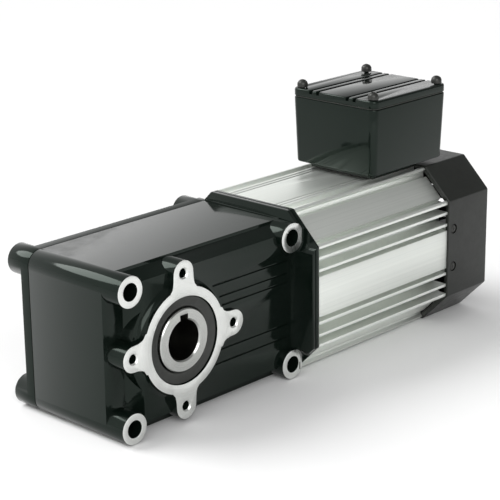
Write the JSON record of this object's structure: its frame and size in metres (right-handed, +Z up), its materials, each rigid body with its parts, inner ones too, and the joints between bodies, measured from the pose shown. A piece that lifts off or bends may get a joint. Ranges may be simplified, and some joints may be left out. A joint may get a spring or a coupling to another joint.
{
  "type": "right-angle gearmotor",
  "caption": "Right-angle gearmotor: black gear case with a hollow keyed output shaft, mounting flange and through-bolt bosses, finned square motor, fan cowl and a terminal box on top.",
  "frame": {"origin": "middle of the bounding box at its lowest level, under the gear case and the motor", "axes": "+X along the motor from the gear case to the fan cowl, +Y along the output shaft away from the flange face, +Z up towards the terminal box"},
  "size_m": [0.3346, 0.1114, 0.1696],
  "materials": {
    "black_paint": "gloss",
    "black_plastic": "satin",
    "satin_aluminium": "satin",
    "steel": "ground",
    "blackened_steel": "blackened",
    "seal_rubber": "matte",
    "gasket": "matte",
    "winding": "varnished copper wire",
    "lamination": "stacked sheet",
    "wheel_bronze": "machined",
    "terminal_plastic": "matte"
  },
  "bodies": {
    "gearmotor_body": {"bearing_carrier": "satin_aluminium", "box_gasket": "seal_rubber", "conduit_plug": "black_plastic", "cover_gasket": "gasket", "cover_screw_1": "blackened_steel", "cover_screw_2": "blackened_steel", "cover_screw_3": "blackened_steel", "cover_screw_4": "blackened_steel", "end_shield_screw_1": "blackened_steel", "end_shield_screw_2": "blackened_steel", "end_shield_screw_3": "blackened_steel", "end_shield_screw_4": "blackened_steel", "fan_cover": "black_plastic", "fan_cover_screw_1": "blackened_steel", "fan_cover_screw_2": "blackened_steel", "fan_cover_screw_3": "blackened_steel", "fan_cover_screw_4": "blackened_steel", "gear_housing": "black_paint", "housing_cover": "black_paint", "layshaft_bearing_left": "steel", "layshaft_bearing_right": "steel", "lid_gasket": "seal_rubber", "lid_screw_1": "blackened_steel", "lid_screw_2": "blackened_steel", "lid_screw_3": "blackened_steel", "lid_screw_4": "blackened_steel", "motor_bearing_front": "steel", "motor_bearing_rear": "steel", "motor_housing": "satin_aluminium", "oil_seal_front": "seal_rubber", "oil_seal_rear": "seal_rubber", "output_bearing_front_outer": "steel", "output_bearing_rear_outer": "steel", "pinion_bearing_left": "steel", "pinion_bearing_right": "steel", "rear_end_shield": "satin_aluminium", "stator_core": "lamination", "terminal_block": "terminal_plastic", "terminal_box": "black_paint", "terminal_box_lid": "black_paint", "winding_front": "winding", "winding_rear": "winding"},
    "output_shaft_body": {"output_shaft": "steel", "bevel_wheel": "wheel_bronze", "output_bearing_front_inner": "steel", "output_bearing_rear_inner": "steel"},
    "bevel_pinion_body": {"bevel_pinion_shaft": "steel", "intermediate_gear": "steel"},
    "layshaft_body": {"layshaft": "steel", "layshaft_gear": "steel"},
    "rotor_body": {"rotor_shaft": "steel", "rotor_core": "lamination", "cooling_fan": "black_plastic", "fan_retaining_ring": "blackened_steel"}
  },
  "joints": [
    {"name": "output_shaft_spin", "type": "hinge", "parent": "gearmotor_body", "child": "output_shaft_body", "pos_m": [-0.1154, -0.0413, 0.0525], "axis": [0, 1, 0], "continuous": true},
    {"name": "bevel_pinion_spin", "type": "hinge", "parent": "gearmotor_body", "child": "bevel_pinion_body", "pos_m": [-0.0704, -0.0008, 0.0525], "axis": [1, 0, 0], "continuous": true},
    {"name": "layshaft_spin", "type": "hinge", "parent": "gearmotor_body", "child": "layshaft_body", "pos_m": [-0.0454, 0.00793, 0.03015], "axis": [1, 0, 0], "continuous": true},
    {"name": "rotor_spin", "type": "hinge", "parent": "gearmotor_body", "child": "rotor_body", "pos_m": [0.0346, -0.0008, 0.0549], "axis": [1, 0, 0], "continuous": true}
  ],
  "couplings": [
    {"joint": "bevel_pinion_spin", "follows": "output_shaft_spin", "ratio": -3},
    {"joint": "layshaft_spin", "follows": "output_shaft_spin", "ratio": 6.6},
    {"joint": "rotor_spin", "follows": "output_shaft_spin", "ratio": -16.5}
  ]
}
